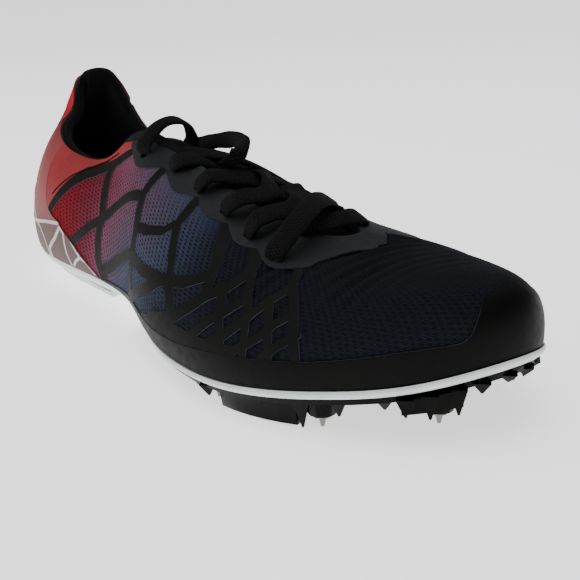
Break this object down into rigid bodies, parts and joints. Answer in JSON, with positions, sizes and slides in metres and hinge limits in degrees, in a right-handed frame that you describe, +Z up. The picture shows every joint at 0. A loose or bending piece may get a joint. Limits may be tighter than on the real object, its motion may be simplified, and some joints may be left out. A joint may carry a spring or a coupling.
{
  "type": "track spike shoe",
  "caption": "Right track spike shoe: mesh upper with film overlays, laced throat with slack lace loops, padded collar, foam midsole and a toothed plate carrying screw-in steel spikes.",
  "frame": {"origin": "on the floor under the middle of the heel outsole's flat underside", "axes": "+X to the toe, +Y to the wearer's left, the inner side of this right shoe, +Z up"},
  "size_m": [0.2786, 0.0992, 0.0864],
  "materials": {
    "upper_mesh": "fine woven mesh, printed from red at the heel to navy at the toe",
    "rand_film": "smooth black film",
    "eyestay_film": "matt charcoal film",
    "counter_film": "glossy film",
    "collar_film": "satin red film",
    "tab_film": "satin bright red film",
    "lining_cloth": "black knit over foam",
    "tongue_cloth": "black knit",
    "insole_foam": "cloth-faced foam",
    "midsole_foam": "smooth white foam",
    "outsole_rubber": "pale solid rubber",
    "plate_plastic": "glossy hard black",
    "spike_steel": "bright",
    "lace_cloth": "flat woven cord"
  },
  "bodies": {
    "root": {"upper": "upper_mesh", "toe_rand": "rand_film", "eyestay": "eyestay_film", "heel_counter": "counter_film", "collar_panel_outer": "collar_film", "collar_panel_inner": "collar_film", "heel_tab": "tab_film", "collar_lining": "lining_cloth", "tongue": "tongue_cloth", "insole": "insole_foam", "midsole": "midsole_foam", "heel_outsole": "outsole_rubber", "spike_plate": "plate_plastic", "spike_1": "spike_steel", "spike_2": "spike_steel", "spike_3": "spike_steel", "spike_4": "spike_steel", "spike_5": "spike_steel", "spike_6": "spike_steel", "lace_crossing_1": "lace_cloth", "lace_crossing_2": "lace_cloth", "lace_crossing_3": "lace_cloth", "lace_crossing_4": "lace_cloth", "lace_crossing_5": "lace_cloth", "lace_loop_rear": "lace_cloth", "lace_loop_front": "lace_cloth"}
  },
  "joints": []
}
